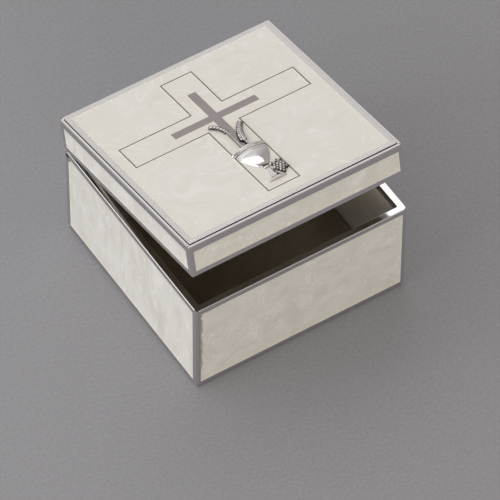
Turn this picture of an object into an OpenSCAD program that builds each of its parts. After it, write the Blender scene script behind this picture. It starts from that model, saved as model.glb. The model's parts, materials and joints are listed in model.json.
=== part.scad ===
// Square keepsake box of cast metal with enamel panels and a hinged lid.
// The origin is the centre of the underside. X runs to the right, Y to the back, Z up.

/* [Box] */
// Width of the box, left to right
box_w = 89; // [75:1:140]
// Depth of the box, front to back
box_d = 89; // [80:1:140]
// Height of the rim above the surface that the box stands on
body_h = 43; // [25:1:90]
// Radius of the upright corners
corner_r = 0.6; // [0.5:0.1:2]
// Width of the flat polished rim
rim_w = 2.7; // [2.2:0.1:4]
// Width of the step inside the rim
step_w = 0.6; // [0.3:0.1:1.5]
// Depth of the step below the rim
step_h = 2.1; // [1.8:0.1:3]
// Thickness of the floor
floor_t = 2.2; // [1.6:0.1:4]

/* [Enamel] */
// Thickness of the enamel panels
enamel_t = 1; // [0.5:0.1:1.4]
// Width of the metal border at the upright edges of the front and the back
front_border = 1.8; // [1.6:0.1:6]
// Width of the metal border at the upright edges of the left and right faces
side_border = 2.5; // [2:0.1:6]
// Width of the metal border above a body panel
top_border = 2.3; // [1:0.1:6]
// Width of the metal border below a panel
bottom_border = 2.1; // [1:0.1:4]

/* [Pads] */
// Thickness of the felt pad under the box
base_pad_t = 0.9; // [0.6:0.1:2]
// How far the felt pad stands below the metal
base_pad_proud = 0.3; // [0.1:0.1:0.5]
// Distance from the felt pad to the edge of the box
base_pad_in = 4; // [2:0.5:12]
// Thickness of the velvet pad on the floor
floor_pad_t = 1.2; // [0.6:0.1:4]
// Gap round the velvet pad
floor_pad_gap = 0.4; // [0.2:0.1:2]

/* [Lid] */
// Height of the lid without its plaque
lid_h = 13.8; // [11:0.2:30]
// Angle at which the lid stands open
lid_open = 11.3; // [0:0.1:90]
// Gap between the closed lid and the rim
lid_gap = 0.5; // [0.2:0.05:0.7]
// Thickness of the lid's roof under the plaque
roof_t = 1.4; // [1:0.1:3]
// Width of the metal border above a lid panel
lid_top_border = 2.9; // [2:0.1:4]
// Height of the lip that drops inside the rim
lip_h = 1.5; // [0.8:0.1:1.7]
// Thickness of the lip
lip_t = 0.8; // [0.5:0.1:1.5]
// Gap between the lip and the rim
lip_gap = 0.3; // [0.2:0.05:0.6]

/* [Plaque] */
// Width of the ledge round the plaque
ledge_w = 1.1; // [0.6:0.1:3]
// Height of the plaque above the ledge
plaque_rise = 0.4; // [0.2:0.1:1.5]
// How deep the plaque is let into the lid
plaque_sink = 1.2; // [0.8:0.1:2]
// Width of the plaque's metal border
plaque_border = 2; // [1:0.1:5]
// Depth of the enamel in the plaque
field_t = 0.9; // [0.5:0.1:1.1]

/* [Cross] */
// Distance from the cross outline to the border
outline_margin = 4.5; // [2:0.1:8]
// Width of the upright inside the outline
outline_post_w = 12.5; // [8:0.5:18]
// Width of the arms inside the outline
outline_arm_w = 11.6; // [8:0.2:18]
// Width of the outline's wire
wire_w = 0.45; // [0.3:0.05:1]
// How far the arms lie behind the middle of the lid
cross_back = 9.5; // [0:0.1:14]
// Width of the flat metal cross
metal_w = 3.4; // [2:0.1:6]
// Length of the flat cross's arms, end to end
metal_arm_l = 35.4; // [20:0.2:50]
// Reach of the flat cross above its arms
metal_top_l = 16.6; // [8:0.2:24]

/* [Relief] */
// Height of the chalice
chalice_h = 20.5; // [16:0.5:24]
// Widest radius of the chalice
chalice_r = 6.9; // [4:0.1:8]
// Height of the chalice's relief
chalice_rise = 2; // [1:0.1:4]
// Depth of the chalice's bowl
bowl_h = 11; // [6:0.5:12]
// How much the bowl narrows towards its stem, where 1 is an ellipse
bowl_taper = 1.75; // [1:0.05:2.5]
// Height of the band round the chalice's rim
band_h = 1.3; // [0.5:0.1:2]
// Radius of the chalice's foot
foot_r = 3.4; // [2:0.1:5]
// Height of the foot's edge
foot_edge_h = 0.5; // [0.2:0.1:1]
// Radius of the chalice's stem
stem_r = 0.8; // [0.5:0.1:1.5]
// How far the knop under the bowl stands out
knop_rise = 0.7; // [0.3:0.1:1.2]
// Distance from the foot to the lower end of the outline
foot_margin = 3.9; // [1:0.1:6]
// Distance from the middle to the left stalk
left_stalk_x = 1.5; // [1:0.1:3]
// Length of the left stalk below its ear
left_stalk_l = 11; // [4:0.5:12]
// Radius of the left ear's bend
left_bend_r = 8.3; // [6:0.1:14]
// Angle that the left ear turns through
left_bend_a = 62; // [30:1:70]
// Distance from the middle to the right stalk
right_stalk_x = 1.3; // [1:0.1:3]
// Length of the right stalk below its ear
right_stalk_l = 3.5; // [2:0.5:12]
// Radius of the right ear's bend
right_bend_r = 14.7; // [6:0.1:16]
// Angle that the right ear turns through
right_bend_a = 43; // [30:1:70]
// Radius of a wheat grain
grain_r = 0.72; // [0.4:0.02:0.9]
// Distance from one grain to the next along an ear
grain_pitch = 1.2; // [0.9:0.05:1.4]
// Radius of a grape
grape_r = 0.72; // [0.5:0.02:0.74]
// Grapes in the cluster's widest row, which is the second
grape_count = 4; // [3:1:4]
// Distance from the chalice's middle to the cluster's middle
grape_x = 3.7; // [3.7:0.1:3.9]
// Height of the cluster's top row above the foot
grape_y = 6.2; // [6:0.2:7]

/* [Hinge] */
// Radius of the hinge pin
pin_r = 0.9; // [0.6:0.05:1.1]
// Running gap between the pin and its holes
pin_gap = 0.05; // [0.01:0.01:0.1]
// Radius of the hinge barrels
barrel_r = 1.7; // [1.5:0.1:2]
// Distance from the barrels to the rim and to the back face
barrel_in = 0.15; // [0.1:0.05:0.5]
// Gap that lets the lid's barrels turn
swing_gap = 0.3; // [0.2:0.05:0.5]
// Gap between neighbouring barrels
barrel_gap = 0.3; // [0.2:0.05:0.6]
// Length of the middle barrel
middle_l = 27; // [10:1:40]
// How far the pin lies inside the side faces
pin_in = 1.6; // [0.5:0.1:2.5]
// Metal left between the hinge notch and the inside
rail_t = 1.4; // [1:0.1:3]
// Radius of the plain metal round the pin's end
boss_r = 2.4; // [2.2:0.1:4]

/* [Hidden] */
$fn = 48;
// Overshoot of a cut past the face that it opens
over = 0.5;
wall_t = rim_w + step_w;
hinge_in = barrel_r + barrel_in;
axis_y = box_d / 2 - hinge_in;
axis_z = body_h - hinge_in;
bore_r = pin_r + pin_gap;
notch_r = barrel_r + swing_gap;
rail_y = axis_y - notch_r - rail_t;
notch_w = box_w - 2 * wall_t;
metal_z = base_pad_proud;
floor_z = metal_z + floor_t;
panel_z = metal_z + bottom_border;
panel_top_z = body_h - top_border;
back_panel_top_z = axis_z - notch_r - rail_t;
lid_z = body_h + lid_gap;
lid_wall_t = rim_w + lip_gap + lip_t;
// The lip ends far enough from the hinge axis to swing past the rail's upper edge
lip_end_y = axis_y - norm([axis_y - rail_y, hinge_in]) - lip_gap;
plaque_floor_z = lid_h - plaque_sink;
hollow_h = plaque_floor_z - roof_t;
plaque_w = box_w - 2 * ledge_w;
plaque_d = box_d - 2 * ledge_w;
plaque_z = lid_h + plaque_rise;
field_w = plaque_w - 2 * plaque_border;
field_d = plaque_d - 2 * plaque_border;
outline_w = field_w - 2 * outline_margin;
outline_d = field_d - 2 * outline_margin;
lid_barrel_x = middle_l / 2 + barrel_gap;
lid_barrel_l = notch_w / 2 - barrel_gap - lid_barrel_x;
foot_y = -outline_d / 2 + foot_margin;
cup_y = foot_y + chalice_h;
bowl_r = chalice_r - 0.06 * chalice_r;
bowl_low = chalice_h - band_h - bowl_h;
flare_h = bowl_low - foot_edge_h - 2 * knop_rise;

// Rectangle with round corners
module round_rect(w, d, r) {
    square([w - 2 * r, d], center = true);
    square([w, d - 2 * r], center = true);
    for (x = [-1, 1], y = [-1, 1])
        translate([x * (w / 2 - r), y * (d / 2 - r)])
            circle(r);
}

module slab(w, d, h, r) {
    linear_extrude(h)
        round_rect(w, d, r);
}

// Upright plate on the face towards the front, drawn in X and Z
module on_front(t, cut = 0) {
    translate([0, -box_d / 2 + t, 0])
        rotate([90, 0, 0])
            linear_extrude(t + cut)
                children();
}

module on_back(t, cut = 0) {
    rotate([0, 0, 180])
        on_front(t, cut)
            children();
}

// Upright plate on the right face, drawn in Y and Z
module on_right(t, cut = 0) {
    translate([box_w / 2 - t, 0, 0])
        rotate([90, 0, 90])
            linear_extrude(t + cut)
                children();
}

module on_left(t, cut = 0) {
    mirror([1, 0, 0])
        on_right(t, cut)
            children();
}

module panel(w, border, low, high) {
    translate([-w / 2 + border, low])
        square([w - 2 * border, high - low]);
}

// The side panels leave plain metal round the end of the hinge pin
module body_side_panel() {
    difference() {
        panel(box_d, side_border, panel_z, panel_top_z);
        translate([axis_y, axis_z])
            circle(boss_r);
    }
}

module lid_panel(w, border) {
    panel(w, border, bottom_border, lid_h - lid_top_border);
}

// Rod along X at the hinge axis, from x to x + l
module hinge_rod(r, x, l) {
    translate([x, axis_y, axis_z])
        rotate([0, 90, 0])
            cylinder(r = r, h = l);
}

// Block along X beside the hinge axis, with Y and Z measured from the axis
module hinge_block(x, l, y, z) {
    translate([x, axis_y + y[0], axis_z + z[0]])
        cube([l, y[1] - y[0], z[1] - z[0]]);
}

// Puts what is drawn on a closed lid, with Z from its lower edge, at the lid's open angle
module on_lid() {
    translate([0, axis_y, axis_z])
        rotate([-lid_open, 0, 0])
            translate([0, -axis_y, lid_z - axis_z])
                children();
}

// Lays a flat drawing into the plaque, level with its top
module in_plaque(t) {
    on_lid()
        translate([0, 0, plaque_z - t])
            linear_extrude(t)
                children();
}

// Wide cross as far as the inside of the outline, or larger by grow on every side
module wide_cross(grow) {
    square([outline_post_w + 2 * grow, outline_d - 2 * wire_w + 2 * grow], center = true);
    translate([0, cross_back])
        square([outline_w - 2 * wire_w + 2 * grow, outline_arm_w + 2 * grow], center = true);
}

module flat_cross() {
    translate([-metal_arm_l / 2, cross_back - metal_w / 2])
        square([metal_arm_l, metal_w]);
    translate([-metal_w / 2, cup_y - metal_w / 2])
        square([metal_w, cross_back + metal_top_l - cup_y + metal_w / 2]);
}

// Space that the hinge takes out of the body's back edge
module hinge_notch() {
    hinge_block(-notch_w / 2, notch_w, [-notch_r, hinge_in + over], [-notch_r, hinge_in + over]);
}

// The side walls are round about the hinge axis, so that the lid clears them
module rounded_back_edge() {
    difference() {
        hinge_block(-box_w / 2 - over, box_w + 2 * over, [0, hinge_in + over], [0, hinge_in + over]);
        hinge_rod(hinge_in, -box_w / 2 - over, box_w + 2 * over);
    }
}

// Thick part of the back wall that backs the hinge notch, from side wall to side wall
module hinge_rail() {
    rail_w = box_w - 2 * rim_w;
    rail_low_z = back_panel_top_z;
    rail_out = box_d / 2 - wall_t - rail_y;
    translate([-rail_w / 2, 0, 0])
        rotate([90, 0, 90])
            linear_extrude(rail_w)
                polygon([[rail_y, body_h], [rail_y, rail_low_z],
                         [rail_y + rail_out, rail_low_z - rail_out],
                         [box_d / 2 - enamel_t - over, rail_low_z - rail_out],
                         [box_d / 2 - enamel_t - over, body_h]]);
}

module body_walls() {
    difference() {
        translate([0, 0, metal_z])
            slab(box_w, box_d, body_h - metal_z, corner_r);
        translate([0, 0, floor_z])
            slab(box_w - 2 * wall_t, box_d - 2 * wall_t, body_h, corner_r);
        translate([0, 0, body_h - step_h])
            slab(box_w - 2 * rim_w, box_d - 2 * rim_w, body_h, corner_r);
    }
}

module body_shell() {
    color("silver")
        difference() {
            union() {
                body_walls();
                hinge_rail();
            }
            hinge_notch();
            rounded_back_edge();
            hinge_rod(bore_r, -box_w / 2 - over, box_w + 2 * over);
            on_front(enamel_t, over) panel(box_w, front_border, panel_z, panel_top_z);
            on_back(enamel_t, over) panel(box_w, front_border, panel_z, back_panel_top_z);
            on_left(enamel_t, over) body_side_panel();
            on_right(enamel_t, over) body_side_panel();
            translate([0, 0, -over])
                slab(box_w - 2 * base_pad_in, box_d - 2 * base_pad_in, base_pad_t + over, corner_r);
        }
}

module front_enamel() {
    color("ivory") on_front(enamel_t) panel(box_w, front_border, panel_z, panel_top_z);
}

module back_enamel() {
    color("ivory") on_back(enamel_t) panel(box_w, front_border, panel_z, back_panel_top_z);
}

module left_enamel() {
    color("ivory") on_left(enamel_t) body_side_panel();
}

module right_enamel() {
    color("ivory") on_right(enamel_t) body_side_panel();
}

module floor_pad() {
    inset = 2 * (wall_t + floor_pad_gap);
    color("dimgray")
        translate([0, 0, floor_z])
            slab(box_w - inset, box_d - inset, floor_pad_t, corner_r);
}

module base_pad() {
    color("black")
        slab(box_w - 2 * base_pad_in, box_d - 2 * base_pad_in, base_pad_t, corner_r);
}

module body_hinge_barrel() {
    color("silver")
        difference() {
            union() {
                hinge_rod(barrel_r, -middle_l / 2, middle_l);
                hinge_block(-middle_l / 2, middle_l, [-notch_r, barrel_r], [-notch_r, 0]);
            }
            hinge_rod(bore_r, -middle_l / 2 - over, middle_l + 2 * over);
        }
}

module hinge_pin() {
    color("gray") hinge_rod(pin_r, -box_w / 2 + pin_in, box_w - 2 * pin_in);
}

module lid_lip() {
    lip_w = box_w - 2 * (rim_w + lip_gap);
    lip_d = box_d - 2 * (rim_w + lip_gap);
    difference() {
        translate([0, 0, -lip_h])
            slab(lip_w, lip_d, lip_h + over, corner_r);
        translate([0, 0, -lip_h - over])
            slab(lip_w - 2 * lip_t, lip_d - 2 * lip_t, lip_h + 3 * over, corner_r);
        translate([-box_w / 2, lip_end_y, -lip_h - over])
            cube([box_w, box_d, lip_h + over]);
    }
}

module lid_frame() {
    color("silver")
        on_lid() {
            difference() {
                slab(box_w, box_d, lid_h, corner_r);
                translate([0, 0, -over])
                    slab(box_w - 2 * lid_wall_t, box_d - 2 * lid_wall_t, hollow_h + over, corner_r);
                translate([0, 0, plaque_floor_z])
                    slab(plaque_w, plaque_d, plaque_sink + over, corner_r);
                on_front(enamel_t, over) lid_panel(box_w, front_border);
                on_back(enamel_t, over) lid_panel(box_w, front_border);
                on_left(enamel_t, over) lid_panel(box_d, side_border);
                on_right(enamel_t, over) lid_panel(box_d, side_border);
            }
            lid_lip();
        }
}

module lid_front_enamel() {
    color("ivory") on_lid() on_front(enamel_t) lid_panel(box_w, front_border);
}

module lid_back_enamel() {
    color("ivory") on_lid() on_back(enamel_t) lid_panel(box_w, front_border);
}

module lid_left_enamel() {
    color("ivory") on_lid() on_left(enamel_t) lid_panel(box_d, side_border);
}

module lid_right_enamel() {
    color("ivory") on_lid() on_right(enamel_t) lid_panel(box_d, side_border);
}

// Barrels under the lid's back edge, each on a web that is thinner than the barrel
module lid_hinge_barrels() {
    web_in = bore_r + swing_gap;
    color("silver")
        on_lid()
            translate([0, 0, -lid_z])
                for (x = [lid_barrel_x, -lid_barrel_x - lid_barrel_l])
                    difference() {
                        union() {
                            hinge_rod(barrel_r, x, lid_barrel_l);
                            hinge_block(x, lid_barrel_l, [-web_in, web_in], [0, hinge_in + lid_gap]);
                        }
                        hinge_rod(bore_r, x - over, lid_barrel_l + 2 * over);
                    }
}

module top_plaque() {
    color("silver")
        on_lid()
            translate([0, 0, plaque_floor_z])
                difference() {
                    slab(plaque_w, plaque_d, plaque_sink + plaque_rise, corner_r);
                    translate([0, 0, plaque_sink + plaque_rise - field_t])
                        slab(field_w, field_d, field_t + over, corner_r);
                }
}

module field_enamel() {
    color("ivory")
        in_plaque(field_t)
            difference() {
                round_rect(field_w, field_d, corner_r);
                wide_cross(wire_w);
            }
}

module cross_outline() {
    color("dimgray")
        in_plaque(field_t)
            difference() {
                wide_cross(wire_w);
                wide_cross(0);
            }
}

module cross_enamel() {
    color("ivory")
        in_plaque(field_t)
            difference() {
                wide_cross(0);
                flat_cross();
            }
}

module metal_cross() {
    color("gray") in_plaque(field_t) flat_cross();
}

// Half of the chalice's outline, from the foot's edge to the rim, in radius and height
function chalice_outline() = concat(
    [[0, 0], [foot_r, 0]],
    [for (t = [0 : 0.125 : 1]) [stem_r + (foot_r - stem_r) * pow(1 - t, 3), foot_edge_h + t * flare_h]],
    [for (a = [-60 : 30 : 60]) [stem_r + knop_rise * cos(a), bowl_low - knop_rise * (1 - sin(a))]],
    [for (a = [27.5 : 12.5 : 90]) [bowl_r * pow(sin(a), bowl_taper), bowl_low + bowl_h * (1 - cos(a))]],
    [[chalice_r, chalice_h - band_h], [chalice_r, chalice_h], [0, chalice_h]]);

module chalice() {
    color("silver")
        on_lid()
            translate([0, foot_y, plaque_z])
                scale([1, 1, chalice_rise / chalice_r])
                    rotate([-90, 0, 0])
                        rotate([0, 0, 180])
                            rotate_extrude(angle = 180, $fn = 64)
                                polygon(chalice_outline());
}

// Keeps what stands above the plaque, up to the height of the relief
module above_plaque() {
    on_lid()
        translate([0, 0, plaque_z])
            intersection() {
                translate([-box_w / 2, -box_d / 2, 0])
                    cube([box_w, box_d, chalice_rise]);
                children();
            }
}

// Two rows of grains on a stalk from the rim that bends outwards, with side -1 for the left
module wheat_ear(side, x, stalk_l, bend_r, bend_a) {
    count = round(bend_r * bend_a * PI / 180 / grain_pitch);
    above_plaque()
        translate([side * x, cup_y, 0]) {
            rotate([-90, 0, 0])
                cylinder(r = grain_r / 2, h = stalk_l, $fn = 24);
            translate([side * bend_r, stalk_l, 0])
                for (i = [0 : count - 1], row = [-1, 1])
                    rotate([0, 0, -side * (i + 0.5) / count * bend_a])
                        translate([-side * bend_r + row * grain_r * 0.8, 0, 0])
                            sphere(grain_r, $fn = 24);
        }
}

module left_wheat_ear() {
    color("silver") wheat_ear(-1, left_stalk_x, left_stalk_l, left_bend_r, left_bend_a);
}

module right_wheat_ear() {
    color("silver") wheat_ear(1, right_stalk_x, right_stalk_l, right_bend_r, right_bend_a);
}

module grape_row(count, y, pitch) {
    for (i = [0 : count - 1])
        translate([(i - (count - 1) / 2) * pitch, y, 0])
            sphere(grape_r, $fn = 24);
}

// Grapes in rows that narrow to one at the tip, with a leaf at the top
module grape_cluster() {
    pitch = 1.76 * grape_r;
    row_pitch = pitch * sin(60);
    color("silver")
        above_plaque()
            translate([grape_x, foot_y + grape_y, 0]) {
                for (row = [0 : grape_count])
                    grape_row(grape_count - abs(row - 1), -row * row_pitch, pitch);
                translate([0, row_pitch, 0])
                    cylinder(r = pitch, h = grape_r / 2, $fn = 24);
            }
}

body_shell();
front_enamel();
back_enamel();
left_enamel();
right_enamel();
floor_pad();
base_pad();
body_hinge_barrel();
hinge_pin();
lid_frame();
lid_front_enamel();
lid_back_enamel();
lid_left_enamel();
lid_right_enamel();
lid_hinge_barrels();
top_plaque();
field_enamel();
cross_outline();
cross_enamel();
metal_cross();
chalice();
left_wheat_ear();
right_wheat_ear();
grape_cluster();
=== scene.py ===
# %% [markdown]
# # A square keepsake box, dressed in Blender
# The box is a nickel-plated casting with panes of pearl enamel let into its faces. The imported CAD
# model gives every solid at its true size, so this script only adds what CAD leaves out: round
# edges, enamel that creeps up its frame, a modelled chalice, wheat and grapes, and the finishes.

# %% The frame
import json
import math

import bmesh
import bpy
import numpy as np
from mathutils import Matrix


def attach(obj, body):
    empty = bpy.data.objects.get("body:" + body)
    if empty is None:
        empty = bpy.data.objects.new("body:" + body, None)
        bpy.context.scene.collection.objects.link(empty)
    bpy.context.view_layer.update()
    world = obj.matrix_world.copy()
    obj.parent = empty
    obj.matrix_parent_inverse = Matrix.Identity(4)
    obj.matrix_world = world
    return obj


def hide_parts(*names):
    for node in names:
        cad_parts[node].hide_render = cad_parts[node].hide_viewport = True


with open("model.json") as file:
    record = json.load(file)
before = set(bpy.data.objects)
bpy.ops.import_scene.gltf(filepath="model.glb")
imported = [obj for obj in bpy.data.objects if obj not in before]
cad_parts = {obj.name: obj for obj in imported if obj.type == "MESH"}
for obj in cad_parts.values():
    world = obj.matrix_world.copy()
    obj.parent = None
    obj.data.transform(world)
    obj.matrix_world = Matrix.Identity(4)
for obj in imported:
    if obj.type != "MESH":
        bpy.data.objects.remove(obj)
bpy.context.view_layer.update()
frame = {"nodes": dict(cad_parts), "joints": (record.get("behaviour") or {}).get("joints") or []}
MM = 0.001

# %% [markdown]
# ## Where things are
# The sizes below repeat the ones of the CAD model, in millimetres. The lid stands open, so its pieces
# are worked out as if it were closed and then turned about the hinge. The hinge and the angle come
# from the joint in the record, so both always agree with the frame.

# %% Sizes and the open lid
BOX = 89.0
RIM_Z = 43.0
LID_Z = 43.5
LID_H = 13.8
CORNER = 0.6
BOSS = 2.4
ENAMEL_T = 1.0
FRONT_BORDER = 1.8
SIDE_BORDER = 2.5
LEDGE = 1.1
BORDER = 2.0
PLAQUE_Z = 14.2
PLAQUE_LOW = 12.6
PLAQUE_HALF = BOX / 2 - LEDGE
FIELD_HALF = PLAQUE_HALF - BORDER
FIELD_T = 0.9
hinge = frame["joints"][0]
HINGE_Y, HINGE_Z = hinge["pos_m"][1] / MM, hinge["pos_m"][2] / MM
LID_OPEN = math.radians(-hinge["range_deg"][0])


def on_lid(points):
    """Turns points of the closed lid, with Z from its lower edge, about the hinge to the open lid."""
    points = np.asarray(points, float)
    y = points[..., 1] - HINGE_Y
    z = points[..., 2] + LID_Z - HINGE_Z
    c, s = math.cos(LID_OPEN), math.sin(LID_OPEN)
    return np.stack([points[..., 0], HINGE_Y + y * c + z * s, HINGE_Z - y * s + z * c], -1)


print("lid open", round(math.degrees(LID_OPEN), 1), "degrees")

# %% [markdown]
# ## Small helpers
# A mesh comes from whole arrays of points and faces. A node of a material is added by one function
# that also sets its values and links, so each material below reads like a recipe.

# %% Helpers


def make_piece(name, points, faces, material, body, node, edge=None):
    """Makes a mesh object from points in millimetres, which replaces a CAD node and rides on its body.
    edge is a length in millimetres at each point: its distance to the edge of a pane of enamel, or its
    height above the plaque."""
    mesh = bpy.data.meshes.new(name)
    mesh.from_pydata((np.asarray(points) * MM).tolist(), [], [list(f) for f in faces])
    if edge is not None:
        lengths = np.asarray(edge, np.float32)
        mesh.attributes.new("edge_mm", "FLOAT", "POINT").data.foreach_set("value", lengths)
    mesh.validate()
    mesh.polygons.foreach_set("use_smooth", np.ones(len(mesh.polygons), bool))
    mesh.materials.append(material)
    piece = bpy.data.objects.new(name, mesh)
    bpy.context.scene.collection.objects.link(piece)
    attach(piece, body)
    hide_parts(node)
    print(name, len(mesh.polygons), "faces")
    return piece


def crease(piece, degrees):
    """Marks every edge sharper than an angle, so that smooth shading stops there."""
    mesh = bmesh.new()
    mesh.from_mesh(piece.data)
    for edge in mesh.edges:
        edge.smooth = len(edge.link_faces) == 2 and edge.calc_face_angle() < math.radians(degrees)
    mesh.to_mesh(piece.data)
    mesh.free()


def ring_faces(n, m):
    """The faces between n rings of m points each."""
    ring = np.arange(n * m).reshape(n, m)
    after = np.roll(ring, -1, 1)
    return np.stack([ring[:-1], after[:-1], after[1:], ring[1:]], -1).reshape(-1, 4)


def round_square(half, radius, count):
    """Points round a square with round corners, anticlockwise, count of them on each corner."""
    turn = np.linspace(0, math.pi / 2, count)
    arc = np.column_stack([np.cos(turn), np.sin(turn)]) * radius + (half - radius)
    quarters = ((1, 0), (0, 1), (-1, 0), (0, -1))
    return np.concatenate([arc @ np.array([[c, s], [-s, c]]) for c, s in quarters])


def linear(hex_colour):
    """An sRGB hex colour as linear red, green, blue and alpha."""
    srgb = [int(hex_colour[i:i + 2], 16) / 255 for i in (0, 2, 4)]
    return [c / 12.92 if c <= 0.04045 else ((c + 0.055) / 1.055) ** 2.4 for c in srgb] + [1.0]


def add(tree, kind, inputs=None, stops=None, **settings):
    """Adds one shader node: settings are its properties, inputs its values or the sockets linked to it.
    stops are the (position, hex colour) pairs of a colour ramp."""
    new = tree.nodes.new("ShaderNode" + kind)
    for key, value in settings.items():
        setattr(new, key, value)
    for key, value in (inputs or {}).items():
        if isinstance(value, bpy.types.NodeSocket):
            tree.links.new(value, new.inputs[key])
        else:
            new.inputs[key].default_value = value
    for count, (position, colour) in enumerate(stops or []):
        points = new.color_ramp.elements
        point = points[count] if count < len(points) else points.new(position)
        point.position, point.color = position, linear(colour)
    return new


def new_material(name):
    """An empty material and its node tree."""
    material = bpy.data.materials.new(name)
    material.use_nodes = True
    material.node_tree.nodes.clear()
    return material, material.node_tree


# %% [markdown]
# ## Polished nickel
# The casting is zinc with a bright nickel plate, polished on the outside. Plate follows every small
# wave that polishing leaves, so its reflections wobble a little, and handling gives it soft smudges.
# Nickel is a metal: metallic 1, nearly colourless, with a roughness from 0.08 to 0.17.
# The waves are about 6 mm long and the smudges about 12 mm. A polishing line is far too fine to
# show, so it is drawn a quarter of a millimetre wide and very faint.

# %% Polished nickel


def plated_metal(name, colour, smooth, rough, wave):
    """Plated metal with smudges between two roughnesses and a waviness in millimetres."""
    material, tree = new_material(name)
    place = add(tree, "TexCoord").outputs["Object"]
    smudge = add(tree, "TexNoise", {"Vector": place, "Scale": 1 / (12 * MM), "Detail": 4.0})
    roughness = add(tree, "MapRange", {"Value": smudge.outputs["Fac"], "From Min": 0.35,
                                       "From Max": 0.7, "To Min": smooth, "To Max": rough})
    waves = add(tree, "TexNoise", {"Vector": place, "Scale": 1 / (6 * MM), "Detail": 1.0})
    lines = add(tree, "TexNoise", {"Vector": place, "Scale": 1 / (0.25 * MM), "Detail": 2.0})
    height = add(tree, "Mix", {"Factor": 0.06, 2: waves.outputs["Fac"], 3: lines.outputs["Fac"]})
    bump = add(tree, "Bump", {"Height": height.outputs[0], "Strength": 1.0, "Distance": wave * MM})
    shader = add(tree, "BsdfPrincipled", {
        "Base Color": linear(colour), "Metallic": 1.0, "Roughness": roughness.outputs["Result"],
        "Normal": bump.outputs["Normal"]})
    add(tree, "OutputMaterial", {"Surface": shader.outputs[0]})
    return material


polished_nickel = plated_metal("polished_nickel_plate", "e3e0e0", 0.08, 0.17, 0.05)
satin_nickel = plated_metal("satin_nickel_plate", "a49b9d", 0.24, 0.34, 0.03)
hinge_steel = plated_metal("drawn_steel_wire", "a5a3a3", 0.22, 0.35, 0.02)
# The dark wire material is the cloison wire's own oxide. It is also painted shade on the plaque's outer wall
# and in the chalice's grooves.
dark_wire_and_painted_shade = plated_metal("oxidised_wire_and_painted_shade", "706863", 0.3, 0.45, 0.03)
print("metals", [m.name for m in (polished_nickel, satin_nickel, hinge_steel, dark_wire_and_painted_shade)])

# %% [markdown]
# The wheat and the grapes are small castings with a dark patina, rubbed bright on top. Each point
# carries its height above the plaque: the patina is full below about half a millimetre and gone
# above one.

# %% Antiqued nickel


def antiqued_metal(name):
    material, tree = new_material(name)
    place = add(tree, "TexCoord").outputs["Object"]
    worn = add(tree, "TexNoise", {"Vector": place, "Scale": 1 / (1.5 * MM), "Detail": 2.0})
    height = add(tree, "Attribute", attribute_name="edge_mm").outputs["Fac"]
    patchy = add(tree, "Math", {0: worn.outputs["Fac"], 1: 0.5, 2: height}, operation="MULTIPLY_ADD")
    rubbed = add(tree, "MapRange", {"Value": patchy.outputs[0], "From Min": 0.8, "From Max": 1.25})
    tone = add(tree, "ValToRGB", {"Fac": rubbed.outputs[0]}, stops=[(0.0, "4d4744"), (1.0, "dad6d4")])
    dull = add(tree, "MapRange", {"Value": rubbed.outputs[0], "To Min": 0.5, "To Max": 0.16})
    shader = add(tree, "BsdfPrincipled", {
        "Base Color": tone.outputs["Color"], "Metallic": 1.0, "Roughness": dull.outputs[0]})
    add(tree, "OutputMaterial", {"Surface": shader.outputs[0]})
    return material


antiqued_nickel = antiqued_metal("antiqued_nickel")
print("relief", antiqued_nickel.name)

# %% [markdown]
# ## Lacquer on the inside
# Polishing wheels don't reach the inside, so it keeps the grain of the casting under a warm matt
# lacquer. Most of the light comes back from the lacquer and a fifth from the metal, so metallic is
# 0.2. The grain of a casting is about 0.8 mm and the lacquer pools in patches of 15 mm.

# %% Lacquer


def lacquered_casting(name):
    material, tree = new_material(name)
    place = add(tree, "TexCoord").outputs["Object"]
    patch = add(tree, "TexNoise", {"Vector": place, "Scale": 1 / (15 * MM), "Detail": 3.0})
    grain = add(tree, "TexNoise", {"Vector": place, "Scale": 1 / (0.8 * MM), "Detail": 3.0})
    tone = add(tree, "ValToRGB", {"Fac": patch.outputs["Fac"]}, stops=[(0.3, "cfc7b8"), (0.7, "dad3c7")])
    dull = add(tree, "MapRange", {"Value": grain.outputs["Fac"], "To Min": 0.38, "To Max": 0.55})
    bump = add(tree, "Bump", {"Height": grain.outputs["Fac"], "Strength": 1.0, "Distance": 0.03 * MM})
    shader = add(tree, "BsdfPrincipled", {
        "Base Color": tone.outputs["Color"], "Metallic": 0.2, "Roughness": dull.outputs[0],
        "Normal": bump.outputs["Normal"]})
    add(tree, "OutputMaterial", {"Surface": shader.outputs[0]})
    return material


cast_inside = lacquered_casting("lacquered_casting")
print("inside", cast_inside.name)

# %% [markdown]
# ## Pearl enamel
# Pearl enamel is a clear resin with mica flakes, poured into the recess. As it is stirred and poured
# the flakes line up in curls, which stay as soft clouds with a few fine bright strokes. It could be
# a picture of swirls, but the level lines of noise that is bent by other noise give the same curls
# on every face, at a real scale: clouds of 12 mm, bent by waves of 22 mm.
# Where the resin thins out at the metal it looks warmer, so each pane carries its distance to the
# edge as an attribute. The pane is glossy on top: a clear coat over a softer base.

# %% Pearl enamel


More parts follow.
